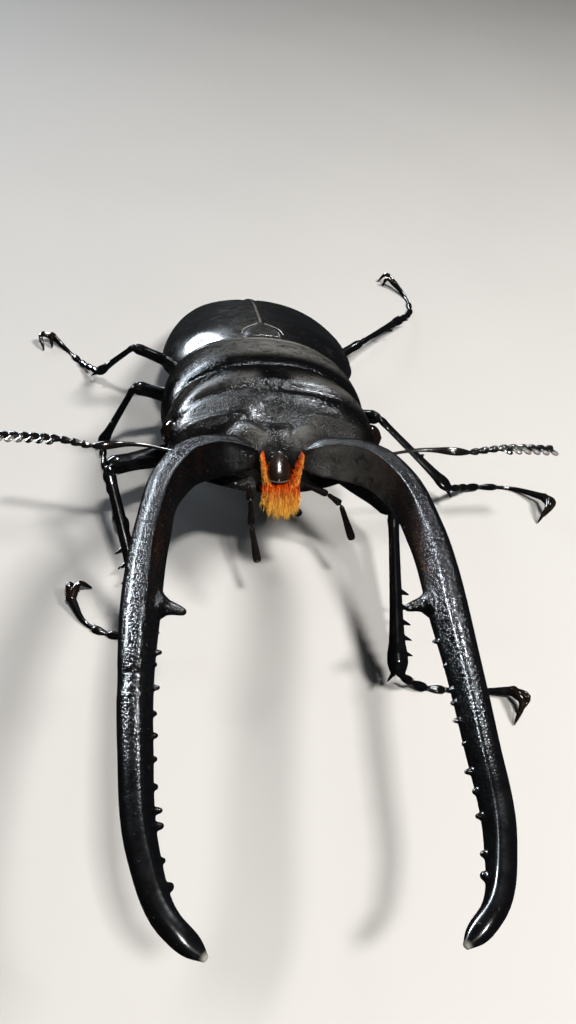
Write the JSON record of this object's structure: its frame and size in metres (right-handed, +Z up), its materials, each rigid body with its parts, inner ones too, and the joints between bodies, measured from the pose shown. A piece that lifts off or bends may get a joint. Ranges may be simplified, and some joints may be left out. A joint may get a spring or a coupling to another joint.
{
  "type": "stag beetle",
  "caption": "Life-size black male stag beetle standing on its feet, head raised, with long toothed jaws spread wide.",
  "frame": {"origin": "bottom centre of the beetle's bounding box, on the floor it stands on", "axes": "+Z up; +Y from the jaws' tips to the tail end, so the beetle faces -Y; +X to the beetle's left"},
  "size_m": [0.077, 0.1252, 0.0254],
  "materials": {
    "wing_case": "smooth, glossy black shell with a thin dusty film",
    "grainy_shell": "black shell, finely granular, satin to glossy",
    "jaw": "black horn, granular near the head and smoother at the tip",
    "leg": "glossy black shell",
    "belly": "blackish brown shell, satin",
    "eye": "very dark reddish brown, glossy",
    "lip": "glossy dark brown",
    "brush": "dense orange hairs with golden ends",
    "feeler": "brownish black, satin",
    "claw": "glossy brownish black horn"
  },
  "bodies": {
    "root": {"head": "grainy_shell", "eye_l": "eye", "mandible_l": "jaw", "antenna_scape_l": "feeler", "antenna_club_l": "feeler", "eye_r": "eye", "mandible_r": "jaw", "antenna_scape_r": "feeler", "antenna_club_r": "feeler", "labrum": "lip", "mouth_brush": "brush", "maxillary_palp_l": "feeler", "maxillary_palp_r": "feeler", "labial_palp_l": "feeler", "labial_palp_r": "feeler", "pronotum": "grainy_shell", "elytron_l": "wing_case", "elytron_r": "wing_case", "scutellum": "grainy_shell", "metathorax": "belly", "abdomen": "belly", "coxa_fore_l": "leg", "femur_fore_l": "leg", "tibia_fore_l": "leg", "tarsus_fore_l": "leg", "claws_fore_l": "claw", "coxa_fore_r": "leg", "femur_fore_r": "leg", "tibia_fore_r": "leg", "tarsus_fore_r": "leg", "claws_fore_r": "claw", "coxa_mid_l": "leg", "femur_mid_l": "leg", "tibia_mid_l": "leg", "tarsus_mid_l": "leg", "claws_mid_l": "claw", "coxa_mid_r": "leg", "femur_mid_r": "leg", "tibia_mid_r": "leg", "tarsus_mid_r": "leg", "claws_mid_r": "claw", "coxa_hind_l": "leg", "femur_hind_l": "leg", "tibia_hind_l": "leg", "tarsus_hind_l": "leg", "claws_hind_l": "claw", "coxa_hind_r": "leg", "femur_hind_r": "leg", "tibia_hind_r": "leg", "tarsus_hind_r": "leg", "claws_hind_r": "claw"}
  },
  "joints": []
}
